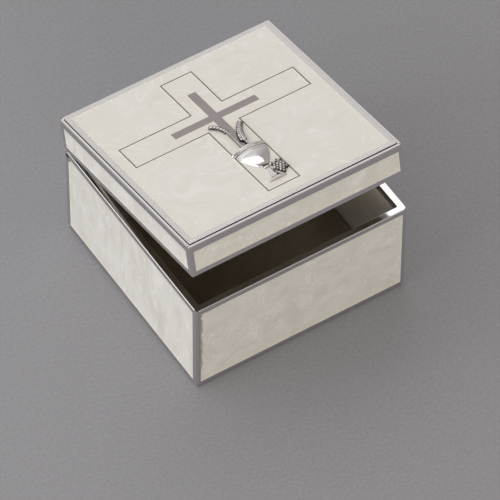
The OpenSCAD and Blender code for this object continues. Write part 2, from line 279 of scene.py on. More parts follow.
def pearl_enamel(name, stretch, curl, stroke, shine, depth):
    """Ivory enamel with clouds, bright strokes and a warm edge. stretch is the scale of the pattern
    along each axis, curl how far it is bent in millimetres, stroke how close its lines are, shine how
    bright they are and depth how strong the clouds are."""
    material, tree = new_material(name)
    place = add(tree, "TexCoord").outputs["Object"]
    drawn = add(tree, "VectorMath", {0: place, 1: stretch}, operation="MULTIPLY").outputs[0]
    bend = add(tree, "TexNoise", {"Vector": drawn, "Scale": 1 / (22 * MM), "Detail": 1.5})
    centred = add(tree, "VectorMath", {0: bend.outputs["Color"], 1: (0.5, 0.5, 0.5)}, operation="SUBTRACT")
    pulled = add(tree, "VectorMath", {0: centred.outputs[0], "Scale": curl * MM}, operation="SCALE")
    curled = add(tree, "VectorMath", {0: drawn, 1: pulled.outputs[0]}, operation="ADD").outputs[0]
    cloud = add(tree, "TexNoise", {"Vector": curled, "Scale": 1 / (12 * MM), "Detail": 5.0,
                                   "Roughness": 0.55, "Distortion": 0.5})
    level = add(tree, "TexNoise", {"Vector": curled, "Scale": 1 / (20 * MM), "Detail": 2.0,
                                   "Distortion": 0.6})
    steps = add(tree, "Math", {0: level.outputs["Fac"], 1: stroke}, operation="MULTIPLY")
    line = add(tree, "Math", {0: steps.outputs[0], 1: 0.5}, operation="PINGPONG")
    thin = add(tree, "MapRange", {"Value": line.outputs[0], "From Min": 0.3, "From Max": 0.5})
    patch = add(tree, "TexNoise", {"Vector": place, "Scale": 1 / (9 * MM), "Detail": 3.0})
    where = add(tree, "MapRange", {"Value": patch.outputs["Fac"], "From Min": 0.42, "From Max": 0.6,
                                   "To Max": shine})
    bright = add(tree, "Math", {0: thin.outputs[0], 1: where.outputs[0]}, operation="MULTIPLY")
    strength = add(tree, "MapRange", {"Value": cloud.outputs["Fac"], "From Min": 0.25, "From Max": 0.75,
                                      "To Min": 0.5 - depth / 2, "To Max": 0.5 + depth / 2})
    tone = add(tree, "ValToRGB", {"Fac": strength.outputs[0]},
               stops=[(0.0, "ddd9cf"), (0.5, "edeae3"), (1.0, "fcfbf7")])
    edge = add(tree, "Attribute", attribute_name="edge_mm").outputs["Fac"]
    warmth = add(tree, "MapRange", {"Value": edge, "From Max": 4.0, "To Min": 0.5, "To Max": 0.0})
    warm = add(tree, "Mix", {"Factor": warmth.outputs[0], 6: tone.outputs["Color"], 7: linear("efe9dd")},
               data_type="RGBA")
    colour = add(tree, "Mix", {"Factor": bright.outputs[0], 6: warm.outputs[2], 7: linear("fffefb")},
                 data_type="RGBA")
    flake = add(tree, "MapRange", {"Value": bright.outputs[0], "To Min": 0.42, "To Max": 0.25})
    waves = add(tree, "TexNoise", {"Vector": place, "Scale": 1 / (14 * MM), "Detail": 1.0})
    bump = add(tree, "Bump", {"Height": waves.outputs["Fac"], "Strength": 1.0, "Distance": 0.08 * MM})
    shader = add(tree, "BsdfPrincipled", {
        "Base Color": colour.outputs[2], "Roughness": flake.outputs[0], "IOR": 1.5,
        "Normal": bump.outputs["Normal"], "Coat Weight": 0.6, "Coat Roughness": 0.06,
        "Coat Normal": bump.outputs["Normal"]})
    add(tree, "OutputMaterial", {"Surface": shader.outputs[0]})
    return material


pearl_top = pearl_enamel("pearl_enamel_top", stretch=(1, 1, 1), curl=46, stroke=7.0, shine=0.5,
                         depth=0.3)
pearl_front = pearl_enamel("pearl_enamel_front", stretch=(1.5, 1.5, 1.7), curl=34, stroke=14.0, shine=1.0,
                           depth=0.6)
pearl_side = pearl_enamel("pearl_enamel_side", stretch=(1, 2.0, 0.5), curl=14, stroke=13.0, shine=1.0,
                          depth=0.9)
print("enamel", [m.name for m in (pearl_top, pearl_front, pearl_side)])

# %% [markdown]
# ## Velvet and felt
# The pad on the floor of the box is short velvet and the pad underneath is pressed felt. Velvet is
# dark where the eye looks into the pile and light at a glancing angle, which is what sheen gives.
# The tufts of the one and the fibres of the other are about half a millimetre apart.

# %% Velvet and felt


def cloth(name, dark, light, sheen, fibre, depth):
    """Cloth in two tones, with fibres a given number of millimetres apart."""
    material, tree = new_material(name)
    place = add(tree, "TexCoord").outputs["Object"]
    pile = add(tree, "TexNoise", {"Vector": place, "Scale": 1 / (fibre * MM), "Detail": 3.0})
    brushed = add(tree, "TexNoise", {"Vector": place, "Scale": 1 / (18 * MM), "Detail": 2.0})
    both = add(tree, "Mix", {"Factor": 0.5, 2: pile.outputs["Fac"], 3: brushed.outputs["Fac"]})
    tone = add(tree, "ValToRGB", {"Fac": both.outputs[0]}, stops=[(0.35, dark), (0.65, light)])
    bump = add(tree, "Bump", {"Height": pile.outputs["Fac"], "Strength": 1.0, "Distance": depth * MM})
    shader = add(tree, "BsdfPrincipled", {
        "Base Color": tone.outputs["Color"], "Roughness": 0.9, "Normal": bump.outputs["Normal"],
        "Sheen Weight": sheen, "Sheen Roughness": 0.4, "Sheen Tint": linear(light)})
    add(tree, "OutputMaterial", {"Surface": shader.outputs[0]})
    return material


velvet = cloth("cotton_velvet", "75695a", "9c8f7d", 0.6, 0.5, 0.25)
felt = cloth("pressed_wool_felt", "18171a", "2b2a2d", 0.3, 0.5, 0.15)
print("cloth", velvet.name, felt.name)

# %% [markdown]
# ## Camera, light and floor
# The camera stands where the photograph was taken from: almost two metres away with a long lens.
# Polished metal shows the room rather than itself, so the room is drawn with care. A broad soft box
# behind and above gives the white in the rim, one at the left lights the left side, and a warmer one
# at the front left lights the front.

# %% Camera
AZIMUTH, ELEVATION, ROLL = (math.radians(a) for a in (-32.773, 50.994, 0.356))
TARGET = np.array([-5.969, -19.368, 26.561]) * MM
DISTANCE = 1.927
FOCAL = 5374.08 * 36 / 500
back = np.array([math.sin(AZIMUTH) * math.cos(ELEVATION), -math.cos(AZIMUTH) * math.cos(ELEVATION),
                 math.sin(ELEVATION)])
right = np.cross([0, 0, 1], back)
right /= np.linalg.norm(right)
up = np.cross(back, right)
right, up = (right * math.cos(ROLL) + up * math.sin(ROLL), up * math.cos(ROLL) - right * math.sin(ROLL))
camera = bpy.data.objects.new("camera", bpy.data.cameras.new("camera"))
bpy.context.scene.collection.objects.link(camera)
camera.data.lens, camera.data.sensor_width = FOCAL, 36
camera.data.clip_end = 50
place = np.eye(4)
place[:3, 0], place[:3, 1], place[:3, 2], place[:3, 3] = right, up, back, TARGET + back * DISTANCE
camera.matrix_world = place.T.tolist()
bpy.context.scene.camera = camera
bpy.context.scene.view_settings.view_transform = "Standard"
print("camera", [round(v, 3) for v in camera.location])

# %% Light and floor


def soft_box(name, direction, distance, size, radiance, tint="ffffff"):
    """A rectangular lamp that faces the box. Its power is radiance times pi times its area."""
    lamp = bpy.data.lights.new(name, "AREA")
    lamp.shape, lamp.size, lamp.size_y = "RECTANGLE", size[0], size[1]
    lamp.energy = radiance * math.pi * size[0] * size[1]
    lamp.color = linear(tint)[:3]
    away = np.array(direction, float) / np.linalg.norm(direction)
    side = np.cross([0, 0, 1], away)
    side /= np.linalg.norm(side)
    turn = np.eye(4)
    turn[:3, 0], turn[:3, 1], turn[:3, 2] = side, np.cross(away, side), away
    turn[:3, 3] = away * distance + [0, 0, 0.03]
    holder = bpy.data.objects.new(name, lamp)
    bpy.context.scene.collection.objects.link(holder)
    holder.matrix_world = turn.T.tolist()


soft_box("soft_box_back", (-0.05, 0.52, 0.85), 1.7, (2.8, 0.72), 1.1)
soft_box("soft_box_left", (-0.93, 0.05, 0.36), 1.1, (0.85, 0.7), 2.15, "fbfcff")
soft_box("soft_box_front", (-0.50, -0.80, 0.33), 1.6, (1.3, 0.8), 2.1, "fff8ee")

# %% [markdown]
# A flat card is the floor, and a black one stands behind the camera. Metal that faces the camera
# mirrors it and turns dark, which makes the rest look polished.

# %% Floor, black flag and room


def card(name, middle, across, up, stops):
    """A flat matt card, given by its middle and its two half sides, which belongs to the room."""
    middle, across, up = (np.array(v, float) for v in (middle, across, up))
    corners = [middle - across - up, middle + across - up, middle + across + up, middle - across + up]
    mesh = bpy.data.meshes.new(name)
    mesh.from_pydata([c.tolist() for c in corners], [], [(0, 1, 2, 3)])
    material, tree = new_material(name)
    spot = add(tree, "TexCoord").outputs["Object"]
    grain = add(tree, "TexNoise", {"Vector": spot, "Scale": 1 / (1.2 * MM), "Detail": 2.0})
    tone = add(tree, "ValToRGB", {"Fac": grain.outputs["Fac"]}, stops=stops)
    shader = add(tree, "BsdfPrincipled", {"Base Color": tone.outputs["Color"], "Roughness": 0.85})
    add(tree, "OutputMaterial", {"Surface": shader.outputs[0]})
    mesh.materials.append(material)
    thing = bpy.data.objects.new(name, mesh)
    bpy.context.scene.collection.objects.link(thing)


card("floor", (0, 0, 0), (6, 0, 0), (0, 6, 0), [(0.3, "949499"), (0.7, "9e9ea2")])
FLAG = np.array([-0.34, -0.53, 0.78])
FLAG /= np.linalg.norm(FLAG)
FLAG_AWAY, FLAG_HALF = 2.6, 0.95
flag_side = np.cross([0, 0, 1], FLAG) / math.hypot(FLAG[0], FLAG[1])
card("black_flag", FLAG * FLAG_AWAY, flag_side * FLAG_HALF, np.cross(FLAG, flag_side) * FLAG_HALF,
     [(0.3, "1a1a1c"), (0.7, "1e1e20")])
world = bpy.data.worlds.new("room")
world.use_nodes = True
world.node_tree.nodes.clear()
bpy.context.scene.world = world
way = add(world.node_tree, "TexCoord").outputs["Generated"]
lean = add(world.node_tree, "VectorMath", {0: way, 1: (-0.45, 0.75, -0.45)}, operation="DOT_PRODUCT")
share = add(world.node_tree, "MapRange", {"Value": lean.outputs["Value"], "From Min": -1.0})
sky = add(world.node_tree, "ValToRGB", {"Fac": share.outputs[0]},
          stops=[(0.12, "c6c1b9"), (0.28, "b1aeaa"), (0.5, "aaa7a6"), (0.6, "e4e2e0"), (0.8, "e4e2e0")])
room = add(world.node_tree, "Background", {"Color": sky.outputs["Color"], "Strength": 1.0})
add(world.node_tree, "OutputWorld", {"Surface": room.outputs[0]})
print("3 soft boxes, a floor, a black flag and a room")

# %% [markdown]
# ## The castings
# Body and lid are cast, then tumbled and polished, which rounds every edge a little. The CAD solids
# have the right shape with sharp edges. A copy of each is merged, its flat triangles are joined, and
# its edges are rounded by a bevel whose width depends on where the edge is. The inner faces get the
# duller finish that polishing wheels can't reach.

# %% Castings with rounded edges
BEVEL = 0.3


def closed(points):
    """Points of the open lid, back on the closed lid with Z from its lower edge."""
    points = np.asarray(points, float)
    y, z = points[..., 1] - HINGE_Y, points[..., 2] - HINGE_Z
    c, s = math.cos(LID_OPEN), math.sin(LID_OPEN)
    return np.stack([points[..., 0], HINGE_Y + y * c - z * s, HINGE_Z + y * s + z * c - LID_Z], -1)


def within_outline(points):
    """Puts points that a bevel pushed out at a corner back on the box's outline, a rounded square."""
    past = np.maximum(np.abs(points[:, :2]) - BOX / 2 + CORNER, 0)
    share = np.minimum(CORNER / np.maximum(np.hypot(past[:, 0], past[:, 1]), 1e-9), 1)
    flat = np.sign(points[:, :2]) * (np.abs(points[:, :2]) - past * (1 - share[:, None]))
    return np.column_stack([flat, points[:, 2]])


def rounded_copy(node, name, edge_width, inside, body):
    """Copies a CAD node and bevels its edges by edge_width(middle) millimetres.
    Faces whose middle passes inside(middle) get the second material."""
    mesh = bmesh.new()
    mesh.from_mesh(frame["nodes"][node].data)
    bmesh.ops.remove_doubles(mesh, verts=mesh.verts, dist=0.002 * MM)
    bmesh.ops.dissolve_limit(mesh, angle_limit=math.radians(0.4), verts=mesh.verts, edges=mesh.edges)
    bmesh.ops.triangulate(mesh, faces=[f for f in mesh.faces if len(f.verts) > 4])
    weight = mesh.edges.layers.float.new("bevel_weight_edge")
    for edge in mesh.edges:
        if len(edge.link_faces) != 2 or edge.calc_face_angle() < math.radians(50):
            continue
        width = edge_width(np.mean([v.co for v in edge.verts], 0) / MM)
        edge[weight] = width / BEVEL
        edge.smooth = width > 0
    for face in mesh.faces:
        face.smooth = True
        middle = np.array(face.calc_center_median()) / MM
        face.material_index = int(inside(middle))
    copy = bpy.data.meshes.new(name)
    mesh.to_mesh(copy)
    mesh.free()
    copy.materials.append(polished_nickel)
    copy.materials.append(cast_inside)
    piece = bpy.data.objects.new(name, copy)
    bpy.context.scene.collection.objects.link(piece)
    bevel = piece.modifiers.new("rounding", "BEVEL")
    bevel.width, bevel.segments, bevel.limit_method = BEVEL * MM, 3, "WEIGHT"
    bevel.use_clamp_overlap = False
    bevel.miter_outer = "MITER_ARC"
    bevelled = piece.evaluated_get(bpy.context.evaluated_depsgraph_get())
    piece.data = bpy.data.meshes.new_from_object(bevelled)
    piece.modifiers.remove(bevel)
    points = np.array([v.co for v in piece.data.vertices]) / MM
    points = on_lid(within_outline(closed(points))) if body == "lid" else within_outline(points)
    piece.data.vertices.foreach_set("co", (points * MM).ravel())
    shading = piece.modifiers.new("shading", "WEIGHTED_NORMAL")
    shading.weight, shading.keep_sharp = 80, True
    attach(piece, body)
    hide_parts(node)
    print(name, len(piece.data.polygons), "faces")
    return piece


def outer_edge(x, y):
    """Rounding of an outer edge: the front and the left were polished most."""
    return 0.35 if min(x, y) < -BOX / 2 + 0.4 else 0.15


def body_edge(middle):
    """Rounding of the body: the foot and the rim's inner edge most, the frames little, the boss none."""
    x, y, z = middle
    if math.hypot(y - HINGE_Y, z - HINGE_Z) < 3.2:
        return 0.0
    outer = max(abs(x), abs(y)) > BOX / 2 - 0.4
    if z > RIM_Z - 0.1 and outer:
        return outer_edge(x, y)
    if z > RIM_Z - 0.1 or (z < 0.4 and outer):
        return 0.3
    return 0.12


def lid_edge(middle):
    """Rounding of the lid: more on its lower edge than on the frames of the enamel."""
    x, y, z = closed(middle)
    outer = max(abs(x), abs(y)) > BOX / 2 - 0.4
    if z > LID_H - 0.1 and outer:
        return outer_edge(x, y)
    if abs(z) < 0.1 and outer:
        return 0.2
    return 0.12


def inside_body(middle):
    """True for the walls and the floor, below the step inside the rim."""
    return max(abs(middle[0]), abs(middle[1])) < BOX / 2 - 2.4 and 1 < middle[2] < RIM_Z - 2.15


def inside_lid(middle):
    """True for the lip and the hollow of the lid."""
    x, y, z = closed(middle)
    return max(abs(x), abs(y)) < BOX / 2 - 2.6 and z < 12


body_casting = rounded_copy("body_shell", "body_casting", body_edge, inside_body, "body")
lid_casting = rounded_copy("lid_frame", "lid_casting", lid_edge, inside_lid, "lid")

# %% [markdown]
# ## Panes of enamel
# Liquid enamel is poured into a recess and cures there. It climbs the metal round its edge by a
# fraction of a millimetre and sinks a little in the middle, and that narrow slope is what draws a
# fine light line round every pane. Each pane is a set of rings from its outline to its middle, and
# the height of a point depends on its distance to the outline.

# %% Panes
SINK, CREEP = 0.13, 0.35


def edge_distance(points, outline):
    """Distance of points to the nearest segment of a closed outline, in its plane."""
    a, b = outline, np.roll(outline, -1, 0)
    along = b - a
    share = ((points[:, None] - a) * along).sum(-1) / (along ** 2).sum(-1)
    nearest = a + np.clip(share, 0, 1)[..., None] * along
    return np.linalg.norm(points[:, None] - nearest, axis=-1).min(1)


def creep(distance, sink=SINK):
    """Height of the enamel: level with the metal at the edge, sinking exponentially to the middle."""
    return -sink * (1 - np.exp(-distance / CREEP))


def resample(outline, step):
    """Puts points along a closed outline no further apart than step."""
    out = []
    for a, b in zip(outline, np.roll(outline, -1, 0)):
        count = max(1, math.ceil(np.linalg.norm(b - a) / step))
        out.append(a + (b - a) * np.arange(count)[:, None] / count)
    return np.concatenate(out)


def pane_mesh(outline, depth, ragged=None):
    """Rings from the outline to its middle, with a wall round the edge and a flat back."""
    edge = resample(outline, 1.2)
    middle = edge.mean(0)
    shares = np.concatenate([[0], np.geomspace(0.0012, 0.5, 18), [0.75]])
    rings = edge[None] + shares[:, None, None] * (middle - edge[None])
    if ragged is not None:
        rings = rings + ragged(rings)
    flat = rings.reshape(-1, 2)
    distance = edge_distance(flat, resample(rings[0], 5))
    height = creep(distance)
    top = np.column_stack([flat, height])
    n, m = len(shares), len(edge)
    back_ring = np.column_stack([rings[0], np.full(m, -depth)])
    points = np.concatenate([top, back_ring, [[*middle, height.min()], [*middle, -depth]]])
    ring = np.arange(n * m).reshape(n, m)
    after = np.roll(ring, -1, 1)
    quads = np.stack([ring[:-1], after[:-1], after[1:], ring[1:]], -1).reshape(-1, 4)
    low, low_after = n * m + np.arange(m), n * m + np.roll(np.arange(m), -1)
    wall = np.stack([low, low_after, after[0], ring[0]], -1)
    tip, heel = (n + 1) * m, (n + 1) * m + 1
    cap = [(a, b, tip) for a, b in zip(ring[-1], after[-1])]
    under = [(b, a, heel) for a, b in zip(low, low_after)]
    edge_mm = np.concatenate([distance, np.zeros(m), [distance.max()] * 2])
    return points, [*map(tuple, quads), *map(tuple, wall), *cap, *under], edge_mm


def rectangle(u, low, high):
    return np.array([[-u, low], [u, low], [u, high], [-u, high]], float)


def side_outline(u, low, high, mirrored):
    """A side pane, whose upper back corner is cut away round the end of the hinge pin."""
    turn = np.linspace(math.radians(-90), math.radians(-180), 40)
    arc = np.column_stack([HINGE_Y + BOSS * np.cos(turn), HINGE_Z + BOSS * np.sin(turn)])
    arc = arc[(arc[:, 0] < u) & (arc[:, 1] < high)]
    start = [u, HINGE_Z - math.sqrt(BOSS ** 2 - (u - HINGE_Y) ** 2)]
    end = [HINGE_Y - math.sqrt(BOSS ** 2 - (high - HINGE_Z) ** 2), high]
    outline = np.array([[-u, low], [u, low], start, *arc, end, [-u, high]])
    return outline[::-1] * [-1, 1] if mirrored else outline


# %% Where each pane lies
BODY_LOW, BODY_HIGH, BACK_HIGH = 2.4, 40.7, 37.75
LID_LOW, LID_HIGH = 2.1, 10.9
FACES = {
    "front": lambda p: np.stack([p[:, 0], -BOX / 2 - p[:, 2], p[:, 1]], -1),
    "back": lambda p: np.stack([-p[:, 0], BOX / 2 + p[:, 2], p[:, 1]], -1),
    "left": lambda p: np.stack([-BOX / 2 - p[:, 2], -p[:, 0], p[:, 1]], -1),
    "right": lambda p: np.stack([BOX / 2 + p[:, 2], p[:, 0], p[:, 1]], -1),
}
FRONT_U, SIDE_U = BOX / 2 - FRONT_BORDER, BOX / 2 - SIDE_BORDER
HALF_WIDTH = {"front": FRONT_U, "back": FRONT_U, "left": SIDE_U, "right": SIDE_U}
ENAMELS = {"front": pearl_front, "back": pearl_front, "left": pearl_side, "right": pearl_side}
print("half widths", HALF_WIDTH)

# %% Panes on body and lid


def pull_back(rings):
    """On the real box the front pane has shrunk back unevenly along the upper part of its left edge.
    So has the left end of its upper edge. Each shift is a sum of sines, which fades out away from the
    edge."""
    u, v = rings[..., 0], rings[..., 1]
    wave = 0.75 + 0.3 * np.sin(v * 2.1) + 0.22 * np.sin(v * 4.7 + 1) + 0.12 * np.sin(v * 9.1 + 2)
    share = np.clip((v - 9) / 3, 0, 1) * np.exp(-np.abs(u + FRONT_U) / 1.1)
    wave_top = 0.22 + 0.14 * np.sin(u * 1.7) + 0.1 * np.sin(u * 4.1)
    share_top = np.clip((-30 - u) / 8, 0, 1) * np.exp(-np.abs(v - BODY_HIGH) / 0.8)
    return np.stack([wave * share, -wave_top * share_top], -1)


body_panes = {
    "front": rectangle(FRONT_U, BODY_LOW, BODY_HIGH),
    "back": rectangle(FRONT_U, BODY_LOW, BACK_HIGH),
    "left": side_outline(SIDE_U, BODY_LOW, BODY_HIGH, True),
    "right": side_outline(SIDE_U, BODY_LOW, BODY_HIGH, False),
}
for side, outline in body_panes.items():
    points, faces, edge_mm = pane_mesh(outline, ENAMEL_T, pull_back if side == "front" else None)
    pane = make_piece(side + "_pane", FACES[side](points), faces, ENAMELS[side], "body",
                      side + "_enamel", edge_mm)
    crease(pane, 40)
for side in FACES:
    points, faces, edge_mm = pane_mesh(rectangle(HALF_WIDTH[side], LID_LOW, LID_HIGH), ENAMEL_T)
    pane = make_piece("lid_" + side + "_pane", on_lid(FACES[side](points)), faces, ENAMELS[side], "lid",
                      "lid_" + side + "_enamel", edge_mm)
    crease(pane, 40)

# %% [markdown]
# ## The plaque
# The top of the lid is a plate of its own, let into the casting. Its border isn't flat: an outer
# band falls slightly outwards, a fine line parts it from an inner band, and a round edge drops to
# the enamel. The border is one profile, as distance from the edge and height, carried round a square
# with round corners. Its outer wall, seen only as a line beside the lid, gets the dark wire material
# as painted shade for the gap between plaque and casting.

# %% Plaque
profile = np.array([
    [0.16, PLAQUE_LOW], [0.16, PLAQUE_Z - 0.25], [0.18, PLAQUE_Z - 0.08], [0.24, PLAQUE_Z - 0.04],
    [0.3, PLAQUE_Z - 0.03],
    [0.98, PLAQUE_Z], [1.03, PLAQUE_Z - 0.02], [1.06, PLAQUE_Z - 0.08], [1.12, PLAQUE_Z - 0.08],
    [1.16, PLAQUE_Z - 0.02], [1.22, PLAQUE_Z], [1.85, PLAQUE_Z - 0.02], [1.94, PLAQUE_Z - 0.05],
    [BORDER, PLAQUE_Z - 0.12], [BORDER, PLAQUE_Z - FIELD_T]])
ARC_POINTS, LEAST_RADIUS, WALL_ROWS = 12, 0.08, 2
loops = []
for inset, height in profile:
    loop = round_square(PLAQUE_HALF - inset, max(CORNER - inset, LEAST_RADIUS), ARC_POINTS)
    loops.append(np.column_stack([loop, np.full(len(loop), height)]))
n, m = len(loops), len(loops[0])
faces = [*map(tuple, ring_faces(n, m)), tuple(range(m))[::-1], tuple(range(n * m - m, n * m))]
plaque = make_piece("plaque", on_lid(np.concatenate(loops)), faces, polished_nickel, "lid", "top_plaque")
# The two lowest rows, the plaque's outer wall, get the dark wire material: painted shade for the gap beside
# the lid.
plaque.data.materials.append(dark_wire_and_painted_shade)
plaque.data.polygons.foreach_set("material_index", [int(i < WALL_ROWS * m) for i in range(len(faces))])
crease(plaque, 50)

# %% [markdown]
# ## The field and the crosses
# On the plaque the enamel is divided by a thin wire that draws a wide cross, as in cloisonne work,
# and a flat metal cross lies inside it. The enamel creeps up the wire just as it does at the border,
# so field and cross panes are cut from one grid whose lines follow the wire.

# %% Outlines of the crosses
WIRE = 0.45
POST, ARM_LOW, ARM_HIGH = 6.25, 3.7, 15.3
SPAN = 36.45
METAL = 1.7
METAL_ARM, METAL_LOW, METAL_HIGH, METAL_TOP, METAL_END = 17.7, 7.8, 11.2, 26.1, -14.2


def cross_outline(post, span, low, high, top, bottom):
    """Outline of a cross, from the lower left corner of its upright, anticlockwise."""
    right = [[post, bottom], [post, low], [span, low], [span, high], [post, high], [post, top]]
    left = [[-x, y] for x, y in right[::-1]]
    return np.array([left[-1], *right, *left[:-1]])


wide_inner = cross_outline(POST, SPAN, ARM_LOW, ARM_HIGH, SPAN, -SPAN)
wide_outer = cross_outline(POST + WIRE, SPAN + WIRE, ARM_LOW - WIRE, ARM_HIGH + WIRE, SPAN + WIRE,
                           -SPAN - WIRE)
flat_cross = cross_outline(METAL, METAL_ARM, METAL_LOW, METAL_HIGH, METAL_TOP, METAL_END)
field_square = rectangle(FIELD_HALF, -FIELD_HALF, FIELD_HALF)
print("wide cross", len(wide_inner), "corners, flat cross", len(flat_cross))

# %% A sheet cut from a grid


def is_inside(points, outline):
    """True for points inside a closed outline of straight level and upright edges."""
    a, b = outline, np.roll(outline, -1, 0)
    upright = np.abs(a[:, 0] - b[:, 0]) < 1e-9
    a, b = a[upright], b[upright]
    low, high = np.minimum(a[:, 1], b[:, 1]), np.maximum(a[:, 1], b[:, 1])
    x, y = points[..., None, 0], points[..., None, 1]
    crossed = (x < a[:, 0]) & (y > low) & (y < high)
    return crossed.sum(-1) % 2 == 1


def dense_lines(breaks):
    """Grid lines with every break on a line, and closely spaced lines beside each break."""
    near = np.array([0.06, 0.14, 0.26, 0.42, 0.65, 1.0, 1.6])
    breaks = np.unique(breaks)
    lines = [breaks]
    for a, b in zip(breaks[:-1], breaks[1:]):
        close = near[near < (b - a) / 2]
        lines += [a + close, b - close]
        lines.append(np.linspace(a, b, max(2, math.ceil((b - a) / 2.5)) + 1)[1:-1])
    lines = np.sort(np.concatenate(lines))
    return lines[np.concatenate([[True], np.diff(lines) > 0.02])]


def sheet_mesh(xs, ys, keep, height, low):
    """A sheet over a grid, cut to the cells of keep, with walls along every cut and a flat back."""
    x, y = np.meshgrid(xs, ys, indexing="ij")
    count = x.size
    points = np.concatenate([np.column_stack([x.ravel(), y.ravel(), height.ravel()]),
                             np.column_stack([x.ravel(), y.ravel(), np.full(count, low)])])
    index = np.arange(count).reshape(x.shape)
    a, b, c, d = index[:-1, :-1], index[1:, :-1], index[1:, 1:], index[:-1, 1:]
    top = np.stack([a, b, c, d], -1)[keep]
    padded = np.pad(keep, 1)
    quads = [top, top[:, ::-1] + count]
    for (di, dj), start, end in (((-1, 0), d, a), ((1, 0), b, c), ((0, -1), a, b), ((0, 1), c, d)):
        beside = padded[1 + di:padded.shape[0] - 1 + di, 1 + dj:padded.shape[1] - 1 + dj]
        cut = keep & ~beside
        quads.append(np.stack([end[cut], start[cut], start[cut] + count, end[cut] + count], -1))
    quads = np.concatenate(quads)
    used, quads = np.unique(quads, return_inverse=True)
    return points[used], [tuple(q) for q in quads.reshape(-1, 4)], used


# %% Field and cross panes


def field_piece(name, node, outer, hole, sink, material, lift=0.0):
    """A pane of the plaque between an outer outline and a hole, cut from one grid."""
    outlines = [o for o in (outer, hole) if o is not None]
    corners = np.concatenate(outlines)
    xs, ys = dense_lines(corners[:, 0]), dense_lines(corners[:, 1])
    centres = np.stack(np.meshgrid((xs[1:] + xs[:-1]) / 2, (ys[1:] + ys[:-1]) / 2, indexing="ij"), -1)
    keep = is_inside(centres, outer)
    if hole is not None:
        keep &= ~is_inside(centres, hole)
    grid = np.stack(np.meshgrid(xs, ys, indexing="ij"), -1)
    flat = grid.reshape(-1, 2)
    distance = np.min([edge_distance(flat, o) for o in outlines], 0).reshape(grid.shape[:2])
    height = PLAQUE_Z + lift + creep(distance, sink)
    points, faces, used = sheet_mesh(xs, ys, keep, height, PLAQUE_Z - FIELD_T)
    edge_mm = np.tile(distance.ravel(), 2)[used]
    piece = make_piece(name, on_lid(points), faces, material, "lid", node, edge_mm)
    crease(piece, 40)
    return piece


field_piece("field_pane", "field_enamel", field_square, wide_outer, 0.1, pearl_top, -0.02)
field_piece("cross_pane", "cross_enamel", wide_inner, flat_cross, 0.07, pearl_top, -0.02)
field_piece("cloison", "cross_outline", wide_outer, wide_inner, -0.03, dark_wire_and_painted_shade, -0.03)
field_piece("flat_cross", "metal_cross", flat_cross, None, -0.03, satin_nickel, -0.03)

# %% [markdown]
# ## The chalice
# The chalice is cast in low relief and polished. It is a turned shape, cut in half and flattened:
# one profile gives its radius along its height and another its depth, which is nearly 2 mm at the
# rim and falls towards the stem. The first has what a real one has: a foot with a step, a flared
# stem with a knop, a cup, and a rim with two beads. The grooves get the dark wire material as
# painted shade.

# %% The chalice's two profiles
FOOT_Y, CUP_H, CUP_R, RISE = -33.0, 20.5, 6.9, 1.9


def smooth_profile(knots, count):
    """Radius against height through knots, as a monotone cubic curve."""
    h, r = np.array(knots, float).T
    slope = np.diff(r) / np.diff(h)
    tangent = np.concatenate([[slope[0]], np.where(slope[:-1] * slope[1:] > 0, 2 * slope[:-1] * slope[1:]
                              / (slope[:-1] + slope[1:] + 1e-12), 0), [slope[-1]]])
    at = np.linspace(h[0], h[-1], count)
    k = np.clip(np.searchsorted(h, at, side="right") - 1, 0, len(h) - 2)
    w = h[k + 1] - h[k]
    t = (at - h[k]) / w
    value = (r[k] * (1 + 2 * t) * (1 - t) ** 2 + tangent[k] * w * t * (1 - t) ** 2
             + r[k + 1] * t * t * (3 - 2 * t) + tangent[k + 1] * w * t * t * (t - 1))
    return at, value


foot = [(0, 3.5), (0.15, 3.65), (0.45, 3.65), (0.6, 3.3), (0.8, 3.0), (1.1, 2.55), (2.0, 1.8), (3.5, 1.25)]
stem = [(5.2, 0.95), (6.6, 0.8), (7.1, 0.8), (7.4, 1.2), (7.75, 1.4), (8.1, 1.2), (8.4, 1.1)]
bowl = [(8.8, 1.7), (9.4, 2.3), (10.4, 3.05), (11.8, 3.9), (13.5, 4.85), (15.5, 5.65), (17.3, 6.1)]
rim = [(18.3, 6.25), (18.45, 6.1), (18.6, 6.1), (18.75, 6.6), (19.15, 6.65), (19.35, 6.3), (19.6, 6.3),
       (19.8, 6.8), (20.2, 6.9), (20.5, 6.6)]
along, radius = smooth_profile(foot + stem + bowl + rim, 260)
cup_share = np.clip((17.5 - along) / 9.3, 0, 1)
depth = np.maximum(radius * 0.32, RISE * (1 - cup_share ** 2.6) ** 0.4)
rim_low = [(0, 1), (18.2, 1), (18.4, 0.72), (18.6, 0.72), (18.8, 0.96), (19.1, 0.96), (19.35, 0.7),
           (19.6, 0.7), (19.85, 1), (20.25, 1), (20.5, 0.85)]
depth *= np.interp(along, *np.array(rim_low).T)
print("chalice", len(along), "levels, at most", round(depth.max(), 2), "mm deep")

# %% Chalice
turn = np.linspace(0, math.pi, 57)
ridge = 0.45 * np.sin(turn) + 0.55 * (1 - np.abs(np.cos(turn)) ** 1.4)
x = radius[:, None] * np.cos(turn)
z = depth[:, None] * ridge
y = np.broadcast_to(FOOT_Y + along[:, None], x.shape)
points = np.stack([x, y, PLAQUE_Z - 0.02 + z], -1)
n, m = x.shape
index = np.arange(n * m).reshape(n, m)
skin = np.stack([index[:-1, :-1], index[1:, :-1], index[1:, 1:], index[:-1, 1:]], -1).reshape(-1, 4)
under = np.stack([index[:-1, 0], index[:-1, -1], index[1:, -1], index[1:, 0]], -1)
faces = [*map(tuple, skin), *map(tuple, under), tuple(index[0]), tuple(index[-1][::-1])]
cup = make_piece("chalice_relief", on_lid(points.reshape(-1, 3)), faces, polished_nickel, "lid", "chalice")
